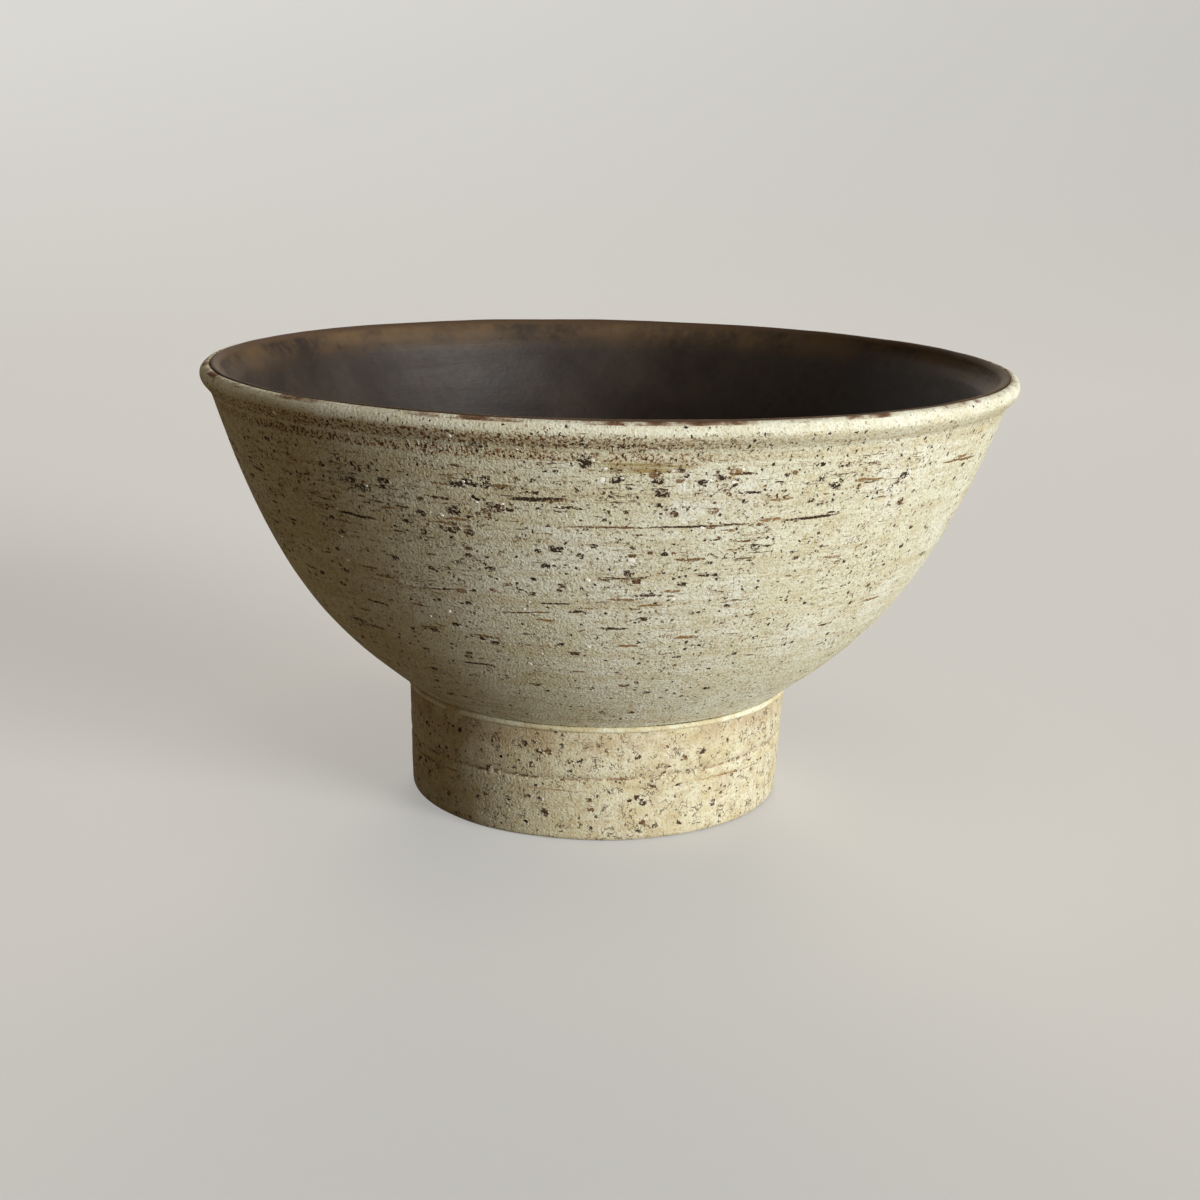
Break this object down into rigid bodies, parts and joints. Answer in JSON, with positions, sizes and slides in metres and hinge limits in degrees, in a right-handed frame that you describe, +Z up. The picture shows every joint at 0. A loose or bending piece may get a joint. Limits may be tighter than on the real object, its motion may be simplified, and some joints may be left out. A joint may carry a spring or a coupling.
{
  "type": "footed pottery bowl",
  "caption": "Flared round stoneware bowl on a tall hollow foot ring, rounded lip, speckled cream slip outside and dark brown glaze inside, for serving noodles, rice or soup.",
  "frame": {"origin": "middle of the foot ring's underside, on the surface that the bowl stands on", "axes": "+Z up along the axis of turning; the bowl is round, so X and Y are any two level directions, with -Y towards the pictured side"},
  "size_m": [0.21, 0.21, 0.115],
  "materials": {
    "bare_clay": "bare fired iron-bearing stoneware, matt and sandy",
    "cream_slip": "dry cream slip with dark iron specks, rust freckles and brushed drag lines",
    "dark_glaze": "semi-matt dark brown glaze, caramel where it thins under the rim"
  },
  "bodies": {
    "root": {"clay_bowl": "bare_clay", "foot_ring": "bare_clay", "seam_bead": "cream_slip", "outer_slip": "cream_slip", "foot_slip": "cream_slip", "inner_glaze": "dark_glaze"}
  },
  "joints": []
}
